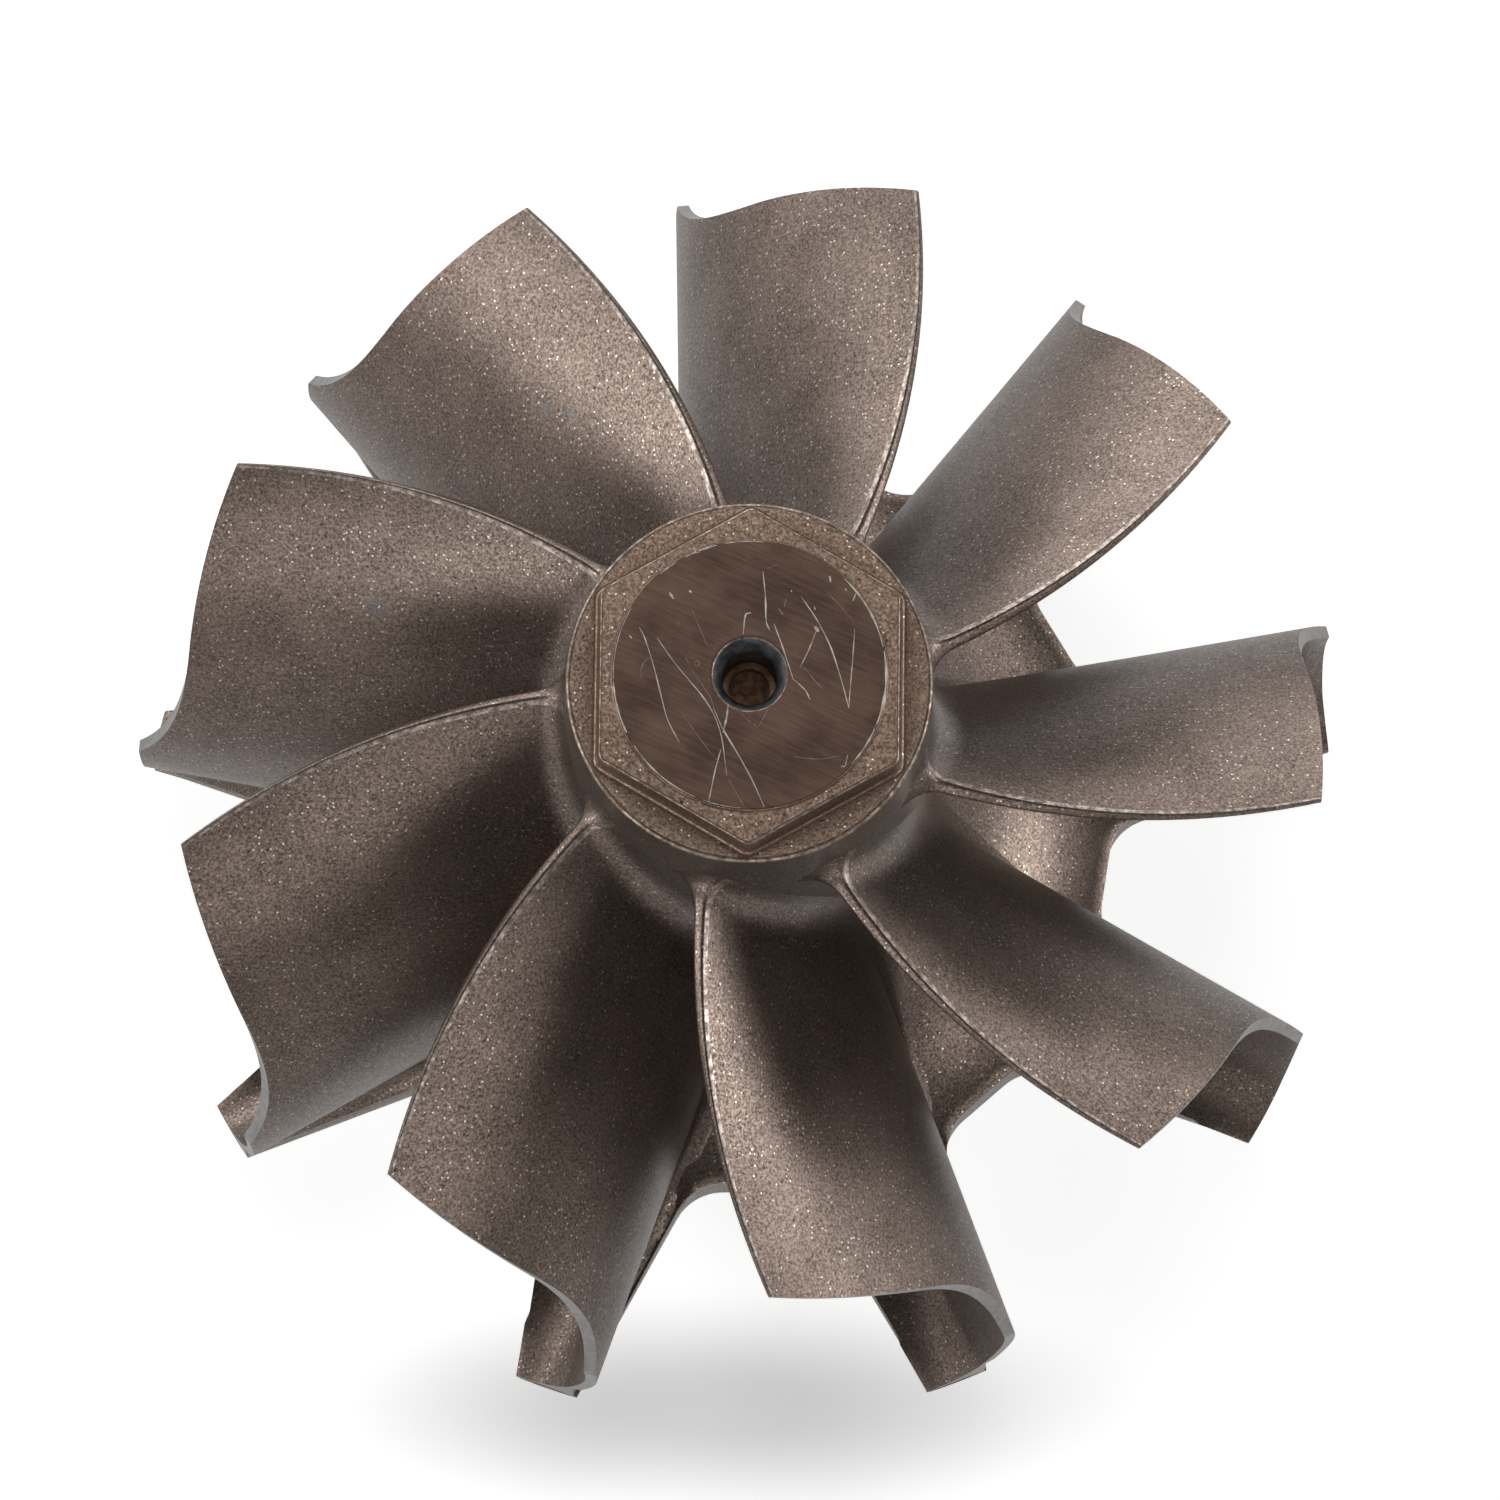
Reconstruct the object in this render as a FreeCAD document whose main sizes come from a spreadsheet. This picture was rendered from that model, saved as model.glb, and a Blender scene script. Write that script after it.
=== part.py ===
import FreeCAD, Part
import math
import os
import Sketcher
from FreeCAD import Vector

# Radial turbine wheel, one casting. The axis is Z, the nose points up and the wheel stands on the
# end of its rear boss at Z = 0. Lengths are in millimetres, angles in degrees.
# Heights with no other note are measured from the back face of the disc.
SIZES = (
    ("blade_count", 9, "blades around the hub"),
    ("tip_angle", 112.3, "direction of the first blade's outlet tip"),
    ("inlet_radius", 34, "outer radius at the blade inlet"),
    ("outlet_step", 2.9, "how far the outlet tips lie inside the inlet radius"),
    ("inlet_height", 12.37, "height of the machined inlet edge"),
    ("shroud_radius", 18.6, "arc between inlet and outlet"),
    ("outlet_height", 22.77, "height where the arc meets the outlet radius"),
    ("trailing_tip_height", 30.3, "trailing edge at the tips"),
    ("trailing_hub_height", 35.2, "trailing edge at the hub"),
    ("trailing_radius", 180, "bow of the trailing edge between the two"),
    ("fold_height", 10.03, "height where the blade wrap turns back"),
    ("fold_angle", 24, "blade face from the tip direction at the fold"),
    ("front_wrap", 0.0211, "wrap factor in front of the fold"),
    ("front_power", 2.338, "wrap power in front of the fold"),
    ("back_wrap", 0.0681, "wrap factor behind the fold"),
    ("back_power", 1.804, "wrap power behind the fold"),
    ("lean_height", 20, "height where the lean is given"),
    ("lean_angle", 11.56, "turn of the blade face from rim to root"),
    ("lean_slope", 4.22, "loss of lean over ten millimetres"),
    ("lean_curve", 1.58, "second loss of lean"),
    ("root_radius", 10, "radius where the root thickness is given"),
    ("tip_thickness", 0.7, "blade thickness at the inlet radius, at the disc"),
    ("tip_thinning", 0.045, "its loss over ten millimetres, growing with the square"),
    ("root_thickness", 3.1, "blade thickness at the root, at the disc"),
    ("root_thinning", 0.205, "its loss over ten millimetres, growing with the square"),
    ("least_thickness", 0.12, "thinnest the blade may become"),
    ("foot_height", 3.6, "height of the flared blade foot at the disc"),
    ("foot_front", 1.2, "flare of the foot on the blade's hollow face"),
    ("foot_back", 1.75, "flare of the foot on the blade's other face"),
    ("foot_power", 1.6, "sharpness of the flare"),
    ("blade_start", 0.1, "height of the lowest blade section"),
    ("blade_overrun", 0.1, "extra blade span beyond the inlet radius, as a share"),
    ("blade_embed", 0.12, "extra blade span inside the hub, as a share"),
    ("rim_thickness", 0.3, "disc thickness at the inlet radius"),
    ("turning_allowance", 0.6, "disc radius before it is turned, beyond the inlet radius"),
    ("web_height", 3.02, "disc thickness where the flank begins"),
    ("flank_radius", 17, "concave arc between disc and hub"),
    ("flank_turn", 75.8, "angle through which the flank turns up to the hub"),
    ("hub_radius", 10.2, "hub radius at the end of the flank"),
    ("nose_radius", 9.65, "hub radius at the nose"),
    ("nose_height", 40.85, "height of the nose face"),
    ("nose_chamfer", 0.15, "broken rim of the nose face"),
    ("scallop_floor", 20.9, "distance of the scallop floor from the axis"),
    ("scallop_half", 3.3, "half width of the scallop at its floor"),
    ("scallop_spread", 30, "angle of the scallop walls to its centre line"),
    ("scallop_corner", 3, "corner rounding of the scallop"),
    ("scallop_top", 3.8, "height of the scallop cut"),
    ("spoke_angle", 18.6, "middle of a disc spoke from the tip direction"),
    ("hex_flats", 16.05, "across the flats at the foot of the hexagon"),
    ("hex_turn", 89.3, "direction of one hexagon corner"),
    ("hex_height", 1.55, "height of the hexagon"),
    ("hex_draft", 6.6, "draft of the hexagon"),
    ("hex_corner", 0.6, "rounding of the upright hexagon edges"),
    ("hex_rim", 0.12, "broken upper edges of the hexagon"),
    ("pad_radius", 7.25, "radius of the turned face on the hexagon"),
    ("pad_height", 0.25, "height of the turned face"),
    ("sink_radius", 2, "mouth of the centre hole"),
    ("bore_radius", 1.45, "centre hole"),
    ("sink_depth", 0.95, "depth of the countersink"),
    ("bore_depth", 3.5, "depth of the centre hole"),
    ("pilot_radius", 1.05, "pilot at the bottom of the hole"),
    ("pilot_depth", 4.2, "depth of the pilot's wall"),
    ("point_depth", 4.8, "depth of the drill point"),
    ("boss_radius", 9.5, "rear boss"),
    ("boss_length", 6, "rear boss in front of the disc's back face"),
    ("boss_chamfer", 0.6, "edge of the rear boss"),
    ("recess_radius", 4, "recess in the boss end"),
    ("recess_depth", 4, "depth of the recess"),
)
OUTLET_RADIUS = "(Sizes.inlet_radius - Sizes.outlet_step)"
STOCK_RADIUS = "(Sizes.inlet_radius * (1 + 2 * Sizes.blade_overrun))"
HUB_HEIGHT = "(Sizes.web_height + Sizes.flank_radius * sin(Sizes.flank_turn * 1deg))"
BLADE_END = "((Sizes.trailing_hub_height + Sizes.nose_height) / 2)"
FOOT_SECTIONS = 3
SECTION_COUNT = 14
FLANK_STEPS = 7
CLEARANCE = 1


def make_sheet(doc):
    """The driving sizes, one named cell each."""
    sheet = doc.addObject("Spreadsheet::Sheet", "Sizes")
    for row, (name, value, note) in enumerate(SIZES, start=1):
        sheet.set("A%d" % row, name)
        sheet.set("B%d" % row, str(value))
        sheet.set("C%d" % row, note)
        sheet.setAlias("B%d" % row, name)
    doc.recompute()
    return sheet


def number(sheet, text):
    """Present value of an expression."""
    return float(sheet.evalExpression(text))


def cell(name):
    return "Sizes." + name


def raised(name):
    """Height above the boss end of a height above the disc's back face."""
    return "(Sizes.boss_length + Sizes.%s)" % name


def origin_part(body, role):
    return next(item for item in body.Origin.OriginFeatures if item.Role == role)


def new_sketch(body, name, role):
    sketch = body.newObject("Sketcher::SketchObject", name)
    sketch.AttachmentSupport = [(origin_part(body, role), "")]
    sketch.MapMode = "FlatFace"
    return sketch


def arc_between(start, end, radius, left):
    """Arc from start to end whose centre lies on the given side."""
    middle = (start + end) * 0.5
    half = (end - start) * 0.5
    reach = math.sqrt(radius ** 2 - half.Length ** 2)
    side = Vector(-half.y, half.x, 0).normalize()
    centre = middle + side * (reach if left else -reach)
    circle = Part.Circle(centre, Vector(0, 0, 1), radius)
    first = math.atan2(start.y - centre.y, start.x - centre.x)
    last = math.atan2(end.y - centre.y, end.x - centre.x)
    if left:
        return Part.ArcOfCircle(circle, first, last)
    return Part.ArcOfCircle(circle, last, first)


def draw_outline(sketch, sheet, points, arcs=()):
    """Closed outline through expression points; arcs maps a side to (radius, left)."""
    arcs = dict(arcs)
    places = [Vector(number(sheet, x), number(sheet, y), 0) for x, y in points]
    count = len(places)
    for index in range(count):
        start = places[index]
        end = places[(index + 1) % count]
        if index in arcs:
            radius, left = arcs[index]
            shape = arc_between(start, end, number(sheet, radius), left)
        else:
            shape = Part.LineSegment(start, end)
        sketch.addGeometry(shape)

    def ends(index):
        reverse = index in arcs and not arcs[index][1]
        return (2, 1) if reverse else (1, 2)

    for index in range(count):
        following = (index + 1) % count
        sketch.addConstraint(Sketcher.Constraint(
            "Coincident", index, ends(index)[1], following, ends(following)[0]))
    for index, (x_text, y_text) in enumerate(points):
        line, end = (index, 1) if index not in arcs else ((index - 1) % count, 2)
        pin_end(sketch, sheet, line, end, index, x_text, y_text)
    for index, (radius, left) in arcs.items():
        label = "arc%d" % index
        place = sketch.addConstraint(
            Sketcher.Constraint("Radius", index, number(sheet, radius)))
        sketch.renameConstraint(place, label)
        sketch.setExpression("Constraints." + label, radius)


def pin_end(sketch, sheet, line, end, index, x_text, y_text):
    """Ties one end of a line to two expressions."""
    for axis, text in (("X", x_text), ("Y", y_text)):
        value = number(sheet, text)
        if abs(value) < 1e-9:
            rail = -2 if axis == "X" else -1
            sketch.addConstraint(Sketcher.Constraint("PointOnObject", line, end, rail))
            continue
        label = "p%d%s" % (index, axis.lower())
        place = sketch.addConstraint(
            Sketcher.Constraint("Distance" + axis, -1, 1, line, end, value))
        sketch.renameConstraint(place, label)
        sketch.setExpression("Constraints." + label, text)


doc = FreeCAD.newDocument("turbine_wheel")
sheet = make_sheet(doc)
body = doc.addObject("PartDesign::Body", "turbine_wheel")
doc.recompute()


def flank_points():
    """Turned steps along the concave flank, from the disc up to the hub."""
    points = []
    for step in range(FLANK_STEPS + 1):
        turn = "(Sizes.flank_turn * %.4f * 1deg)" % (1 - step / FLANK_STEPS)
        points.append((
            "Sizes.hub_radius + Sizes.flank_radius * (1 - cos(%s))" % turn,
            "Sizes.boss_length + %s - Sizes.flank_radius * sin(%s)" % (HUB_HEIGHT, turn)))
    return points


def turn_hub():
    """Boss, disc and hub turned in one piece; the disc is left oversize."""
    sketch = new_sketch(body, "hub_profile", "XZ_Plane")
    flank = flank_points()
    web = "(%s)" % flank[0][0]
    rough = "(Sizes.inlet_radius + Sizes.turning_allowance)"
    rough_top = ("Sizes.boss_length + Sizes.web_height - (%s - %s)"
                 " * (Sizes.web_height - Sizes.rim_thickness)"
                 " / (Sizes.inlet_radius - %s)" % (rough, web, web))
    points = [
        ("0", "0"),
        (cell("boss_radius"), "0"),
        (cell("boss_radius"), cell("boss_length")),
        (rough, cell("boss_length")),
        (rough, rough_top),
        *flank,
        (cell("nose_radius"), raised("nose_height")),
        ("0", raised("nose_height")),
    ]
    draw_outline(sketch, sheet, points)
    hub = body.newObject("PartDesign::Revolution", "hub")
    hub.Profile = sketch
    hub.ReferenceAxis = (sketch, ["V_Axis"])
    hub.Angle = 360
    doc.recompute()
    return hub


def wrap_text(height):
    return ("Sizes.fold_angle - (%s > Sizes.fold_height"
            " ? Sizes.front_wrap * (abs(%s - Sizes.fold_height))^Sizes.front_power"
            " : Sizes.back_wrap * (abs(Sizes.fold_height - %s))^Sizes.back_power)"
            % (height, height, height))


def thinned(place, height):
    """Blade thickness at its tip or its root, thinner toward the trailing edge."""
    return ("max(Sizes.least_thickness; Sizes.%s_thickness - Sizes.%s_thinning * (%s / 10)^2)"
            % (place, place, height))


def section_height(index):
    """Heights of the sections: close together in the foot, then evenly spaced."""
    if index < FOOT_SECTIONS:
        share = index / FOOT_SECTIONS
        return ("(Sizes.blade_start + %.4f * (Sizes.foot_height - Sizes.blade_start))" % share)
    share = (index - FOOT_SECTIONS) / (SECTION_COUNT - 1 - FOOT_SECTIONS)
    return "(Sizes.foot_height + %.4f * (%s - Sizes.foot_height))" % (share, BLADE_END)


def blade_section(index):
    """Straight tapered blade section across the axis at one height."""
    height = section_height(index)
    sketch = new_sketch(body, "blade_section_%02d" % index, "XY_Plane")
    step = "((%s - Sizes.lean_height) / 10)" % height
    lean = "(Sizes.lean_angle - Sizes.lean_slope * %s - Sizes.lean_curve * %s^2) * 1deg" % (step, step)
    tip = thinned("tip", height)
    root = thinned("root", height)
    flare = "(1 - min(1; %s / Sizes.foot_height))^Sizes.foot_power" % height
    front = "(Sizes.foot_front * %s)" % flare
    back = "(%s + Sizes.foot_back * %s)" % (tip, flare)
    inner_back = "(%s + Sizes.foot_back * %s)" % (root, flare)
    cos_lean = "cos(%s)" % lean
    sin_lean = "sin(%s)" % lean
    front_x = "(Sizes.root_radius * %s - %s * %s)" % (cos_lean, front, sin_lean)
    front_y = "(Sizes.root_radius * %s + %s * %s)" % (sin_lean, front, cos_lean)
    back_x = "(Sizes.root_radius * %s + %s * %s)" % (cos_lean, inner_back, sin_lean)
    back_y = "(Sizes.root_radius * %s - %s * %s)" % (sin_lean, inner_back, cos_lean)
    out = "(-Sizes.blade_overrun)"
    into = "(1 + Sizes.blade_embed)"

    def along(share, x_text, y_text, tip_text):
        return ("Sizes.inlet_radius + %s * (%s - Sizes.inlet_radius)" % (share, x_text),
                "%s + %s * (%s - %s)" % (tip_text, share, y_text, tip_text))

    points = [
        along(out, front_x, front_y, front),
        along(into, front_x, front_y, front),
        along(into, back_x, back_y, "(-%s)" % back),
        along(out, back_x, back_y, "(-%s)" % back),
    ]
    draw_outline(sketch, sheet, points)
    sketch.setExpression("AttachmentOffset.Base.z", "Sizes.boss_length + " + height)
    sketch.setExpression("AttachmentOffset.Rotation.Angle",
                         "Sizes.tip_angle + " + wrap_text(height))
    return sketch


def cast_blades():
    """One blade through its sections, then repeated around the axis."""
    sections = [blade_section(index) for index in range(SECTION_COUNT)]
    doc.recompute()
    blade = body.newObject("PartDesign::AdditiveLoft", "blade")
    blade.Profile = sections[0]
    blade.Sections = sections[1:]
    blade.Ruled = True
    blade.Closed = False
    doc.recompute()
    return repeat(blade, "blades")


def repeat(feature, name):
    """Copies a feature around the axis, once for each blade."""
    pattern = body.newObject("PartDesign::PolarPattern", name)
    pattern.Originals = [feature]
    pattern.Axis = (origin_part(body, "Z_Axis"), [""])
    pattern.Angle = 360
    pattern.setExpression("Occurrences", cell("blade_count"))
    body.Tip = pattern
    doc.recompute()
    return pattern


def turn_outside():
    """Turns the inlet edge, the shroud arc, the outlet edge and the nose."""
    sketch = new_sketch(body, "outside_profile", "XZ_Plane")
    points = [
        (cell("inlet_radius"), "Sizes.boss_length - %g" % CLEARANCE),
        (cell("inlet_radius"), raised("inlet_height")),
        (OUTLET_RADIUS, raised("outlet_height")),
        (OUTLET_RADIUS, raised("trailing_tip_height")),
        ("Sizes.hub_radius + (Sizes.nose_radius - Sizes.hub_radius)"
         " * (Sizes.trailing_hub_height - %s) / (Sizes.nose_height - %s)"
         % (HUB_HEIGHT, HUB_HEIGHT), raised("trailing_hub_height")),
        (cell("nose_radius"), raised("nose_height")),
        (STOCK_RADIUS, raised("nose_height")),
        (STOCK_RADIUS, "Sizes.boss_length - %g" % CLEARANCE),
    ]
    arcs = {1: (cell("shroud_radius"), False), 3: (cell("trailing_radius"), True)}
    draw_outline(sketch, sheet, points, arcs)
    cut = body.newObject("PartDesign::Groove", "outside")
    cut.Profile = sketch
    cut.ReferenceAxis = (sketch, ["V_Axis"])
    cut.Angle = 360
    doc.recompute()
    return cut


def cut_scallops():
    """Bays between the disc spokes, cut from the back as deep as the disc is thick there."""
    sketch = new_sketch(body, "scallop_profile", "XY_Plane")
    corner = "Sizes.scallop_corner * tan((90 - Sizes.scallop_spread) / 2 * 1deg)"
    wall_x = "Sizes.scallop_floor + %s * cos(Sizes.scallop_spread * 1deg)" % corner
    wall_y = "Sizes.scallop_half + %s * sin(Sizes.scallop_spread * 1deg)" % corner
    mouth = ("Sizes.scallop_half + (%s - Sizes.scallop_floor)"
             " * tan(Sizes.scallop_spread * 1deg)" % STOCK_RADIUS)
    floor = "Sizes.scallop_half - " + corner
    points = [
        (cell("scallop_floor"), "-(%s)" % floor),
        (wall_x, "-(%s)" % wall_y),
        (STOCK_RADIUS, "-(%s)" % mouth),
        (STOCK_RADIUS, mouth),
        (wall_x, wall_y),
        (cell("scallop_floor"), floor),
    ]
    radius = cell("scallop_corner")
    draw_outline(sketch, sheet, points, {0: (radius, True), 4: (radius, True)})
    sketch.setExpression("AttachmentOffset.Base.z", "Sizes.boss_length - %g" % CLEARANCE)
    sketch.setExpression("AttachmentOffset.Rotation.Angle",
                         "Sizes.tip_angle + Sizes.spoke_angle + 180 / Sizes.blade_count")
    bay = body.newObject("PartDesign::Pocket", "scallop")
    bay.Profile = sketch
    bay.Reversed = True
    bay.setExpression("Length", "Sizes.scallop_top + %g" % CLEARANCE)
    doc.recompute()
    return repeat(bay, "scallops")


def level_sketch(name, height):
    """Sketch across the axis at an expression height above the boss end."""
    sketch = new_sketch(body, name, "XY_Plane")
    sketch.setExpression("AttachmentOffset.Base.z", height)
    return sketch


def draw_circle(sketch, radius):
    sketch.addGeometry(Part.Circle(Vector(), Vector(0, 0, 1), number(sheet, radius)))
    sketch.addConstraint(Sketcher.Constraint("Coincident", 0, 3, -1, 1))
    place = sketch.addConstraint(Sketcher.Constraint("Radius", 0, number(sheet, radius)))
    sketch.renameConstraint(place, "radius")
    sketch.setExpression("Constraints.radius", radius)


def dress_edges(base, name, kind, size, wanted):
    """Rounds or chamfers the edges of the last feature that the test picks."""
    picked = ["Edge%d" % (index + 1) for index, edge in enumerate(base.Shape.Edges)
              if wanted(edge)]
    dressing = body.newObject("PartDesign::" + kind, name)
    dressing.Base = (base, picked)
    dressing.setExpression("Radius" if kind == "Fillet" else "Size", size)
    doc.recompute()
    return dressing


def level_edge(height, radius):
    """Test for a full circle of one radius at one height."""
    def wanted(edge):
        curve = edge.Curve
        return (isinstance(curve, Part.Circle) and abs(curve.Radius - radius) < 0.01
                and abs(curve.Center.z - height) < 0.01
                and abs(curve.Center.x) + abs(curve.Center.y) < 0.01)
    return wanted


def pad_hexagon(base):
    """Drafted wrench hexagon with two corners on the Y axis."""
    sketch = level_sketch("hexagon_profile", raised("nose_height"))
    points = []
    for corner in range(6):
        turn = "(Sizes.hex_turn + %d) * 1deg" % (60 * corner)
        points.append(("Sizes.hex_flats / sqrt(3) * cos(%s)" % turn,
                       "Sizes.hex_flats / sqrt(3) * sin(%s)" % turn))
    draw_outline(sketch, sheet, points)
    pad = body.newObject("PartDesign::Pad", "hexagon")
    pad.Profile = sketch
    pad.setExpression("Length", cell("hex_height"))
    pad.setExpression("TaperAngle", "-Sizes.hex_draft")
    doc.recompute()
    low = number(sheet, raised("nose_height"))
    high = low + number(sheet, cell("hex_height"))

    def upright(edge):
        box = edge.BoundBox
        return abs(box.ZMin - low) < 0.01 and abs(box.ZMax - high) < 0.01

    def upper(edge):
        box = edge.BoundBox
        return abs(box.ZMin - high) < 0.01 and box.ZLength < 0.01

    corners = dress_edges(pad, "hexagon_corners", "Fillet", cell("hex_corner"), upright)
    return dress_edges(corners, "hexagon_rim", "Chamfer", cell("hex_rim"), upper)


def pad_turned_face():
    sketch = level_sketch("turned_face_profile", raised("nose_height") + " + Sizes.hex_height")
    draw_circle(sketch, cell("pad_radius"))
    face = body.newObject("PartDesign::Pad", "turned_face")
    face.Profile = sketch
    face.setExpression("Length", cell("pad_height"))
    doc.recompute()
    return face


def drill_centre():
    """Countersunk centre hole with a pilot and a drill point."""
    sketch = new_sketch(body, "centre_hole_profile", "XZ_Plane")
    top = raised("nose_height") + " + Sizes.hex_height + Sizes.pad_height"
    points = [
        ("0", "%s - Sizes.point_depth" % top),
        (cell("pilot_radius"), "%s - Sizes.pilot_depth" % top),
        (cell("pilot_radius"), "%s - Sizes.bore_depth" % top),
        (cell("bore_radius"), "%s - Sizes.bore_depth" % top),
        (cell("bore_radius"), "%s - Sizes.sink_depth" % top),
        (cell("sink_radius"), top),
        (cell("sink_radius"), "%s + %g" % (top, CLEARANCE)),
        ("0", "%s + %g" % (top, CLEARANCE)),
    ]
    draw_outline(sketch, sheet, points)
    hole = body.newObject("PartDesign::Groove", "centre_hole")
    hole.Profile = sketch
    hole.ReferenceAxis = (sketch, ["V_Axis"])
    hole.Angle = 360
    doc.recompute()
    return hole


def finish_boss(base):
    """Chamfered boss end with a shallow recess."""
    end_edge = level_edge(0, number(sheet, cell("boss_radius")))
    dress_edges(base, "boss_edge", "Chamfer", cell("boss_chamfer"), end_edge)
    sketch = level_sketch("recess_profile", "-%g" % CLEARANCE)
    draw_circle(sketch, cell("recess_radius"))
    recess = body.newObject("PartDesign::Pocket", "recess")
    recess.Profile = sketch
    recess.Reversed = True
    recess.setExpression("Length", "Sizes.recess_depth + %g" % CLEARANCE)
    doc.recompute()
    return recess


def check_model():
    """Stops before anything is written if a feature or the solid has failed."""
    for item in doc.Objects:
        if "Invalid" in item.State or "Error" in item.State:
            raise RuntimeError("%s failed: %s" % (item.Name, item.State))
    shape = body.Shape
    if shape.isNull() or not shape.isValid() or len(shape.Solids) != 1:
        raise RuntimeError("the wheel is not one valid solid")


def report_step(feature, before=None):
    volume = feature.Shape.Volume
    print("%s: %.1f mm3" % (feature.Name, volume))
    if before is not None and abs(volume - before) < 1e-6:
        raise RuntimeError("%s changed nothing" % feature.Name)
    return volume


volume = report_step(turn_hub())
volume = report_step(cast_blades(), volume)
volume = report_step(turn_outside(), volume)
scallops = cut_scallops()
volume = report_step(scallops, volume)
nose_top = number(sheet, raised("nose_height"))
nose = dress_edges(scallops, "nose_rim", "Chamfer", cell("nose_chamfer"),
                   level_edge(nose_top, number(sheet, cell("nose_radius"))))
volume = report_step(nose, volume)
volume = report_step(pad_hexagon(nose), volume)
volume = report_step(pad_turned_face(), volume)
hole = drill_centre()
volume = report_step(hole, volume)
volume = report_step(finish_boss(hole), volume)
body.Label = "turbine_wheel"
body.Placement = FreeCAD.Placement()
doc.recompute()
check_model()
os.makedirs("parts", exist_ok=True)
body.Shape.exportStep("parts/%s.step" % body.Label)
print("faces %d, height %.2f mm" % (len(body.Shape.Faces), body.Shape.BoundBox.ZLength))
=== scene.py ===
# %% [markdown]
# A turbine wheel is one casting: nine twisted blades on a scalloped disc, a hub, and a hexagon
# on the nose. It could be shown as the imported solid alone, but a solid model leaves out the
# fillets, worn edges and small casting errors that make metal look real. So the scene takes
# its place and size from the solid, and hides it under finer meshes that follow the same laws.

# %% Load the frame
import bpy
import math
import numpy as np
from mathutils import Matrix, Vector


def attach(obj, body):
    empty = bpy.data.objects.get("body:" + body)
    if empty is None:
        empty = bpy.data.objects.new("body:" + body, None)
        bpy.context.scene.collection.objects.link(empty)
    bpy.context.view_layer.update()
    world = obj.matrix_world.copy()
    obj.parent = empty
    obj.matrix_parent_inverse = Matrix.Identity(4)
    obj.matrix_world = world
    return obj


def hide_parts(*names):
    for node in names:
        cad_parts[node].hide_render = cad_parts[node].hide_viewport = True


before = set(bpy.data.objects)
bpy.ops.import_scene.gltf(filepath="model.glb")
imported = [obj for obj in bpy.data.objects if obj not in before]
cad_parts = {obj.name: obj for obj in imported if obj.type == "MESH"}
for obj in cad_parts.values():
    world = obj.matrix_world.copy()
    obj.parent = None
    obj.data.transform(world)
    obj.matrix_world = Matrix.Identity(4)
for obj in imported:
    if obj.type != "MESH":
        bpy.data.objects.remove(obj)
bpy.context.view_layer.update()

# %% [markdown]
# The camera stands where the photographer's stood: nearly above the nose, tipped about twelve
# degrees toward the lower side of the picture, with a long lens from half a metre away. It could
# be placed by eye, but a wheel that is seen along its axis shows a wrong angle at once. Its
# place was found by fitting the circles, the hexagon and the blades of the photograph.

# %% Camera
MM = 0.001
PICTURE = 1500
FOCAL_PIXELS = 8054.6
camera_data = bpy.data.cameras.new("camera")
camera_data.sensor_width = 36
camera_data.lens = FOCAL_PIXELS / PICTURE * camera_data.sensor_width
camera_data.clip_start = 0.01
camera = bpy.data.objects.new("camera", camera_data)
bpy.context.collection.objects.link(camera)
camera.matrix_world = Matrix((
    (0.99996, 0.0, -0.008808, -3.695 * MM),
    (-0.001792, 0.979076, -0.203488, -89.553 * MM),
    (0.008624, 0.203496, 0.979038, 460.058 * MM),
    (0, 0, 0, 1)))
bpy.context.scene.camera = camera
print("lens", round(camera_data.lens, 1), "mm")

# %% [markdown]
# Everything on the wheel is drawn in millimetres above the disc's back face and then lifted by
# the length of the rear boss. Its surfaces could be sculpted or swept by hand. Grids of points
# from formulas are used instead, because one law then shapes the solid and the mesh alike. This
# helper collects grids, joins their neighbours into faces and gives each strip its finish.

# %% Mesh helpers
BOSS_LENGTH = 6.0


class Skin:
    """Collects grids of points, in millimetres, and the finish of each strip of faces."""

    def __init__(self):
        self.points = []
        self.faces = []
        self.finishes = []
        self.count = 0

    def lay(self, points):
        """Adds points of shape (rows, columns, 3) and returns their numbers."""
        rows, columns = points.shape[:2]
        numbers = np.arange(rows * columns).reshape(rows, columns) + self.count
        self.points.append(points.reshape(-1, 3))
        self.count += rows * columns
        return numbers

    def weave(self, numbers, finish=0, flip=False, closed=False):
        """Adds the faces between neighbouring rows and columns."""
        if closed:
            numbers = np.concatenate([numbers, numbers[:, :1]], axis=1)
        a, b = numbers[:-1, :-1], numbers[:-1, 1:]
        c, d = numbers[1:, 1:], numbers[1:, :-1]
        order = (d, c, b, a) if flip else (a, b, c, d)
        faces = np.stack(order, axis=-1).reshape(-1, 4)
        self.faces.append(faces)
        if np.ndim(finish) == 0:
            finish = np.full(len(faces), finish)
        else:
            finish = np.repeat(np.asarray(finish), numbers.shape[1] - 1)
        self.finishes.append(finish)

    def build(self, name, materials, sharp=35):
        """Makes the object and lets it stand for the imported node."""
        points = np.concatenate(self.points)
        points = (points + [0, 0, BOSS_LENGTH]) * MM
        faces = np.concatenate(self.faces)
        mesh = bpy.data.meshes.new(name)
        mesh.from_pydata(points.tolist(), [], faces.tolist())
        for material in materials:
            mesh.materials.append(material)
        mesh.polygons.foreach_set("material_index", np.concatenate(self.finishes).astype("i"))
        mesh.validate()
        mesh.shade_smooth()
        mesh.set_sharp_from_angle(angle=math.radians(sharp))
        piece = bpy.data.objects.new(name, mesh)
        bpy.context.collection.objects.link(piece)
        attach(piece, "root")
        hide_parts("turbine_wheel")
        print(name, len(points), "points", len(faces), "faces")
        return piece


print("all heights are lifted by", BOSS_LENGTH, "mm")

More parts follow.
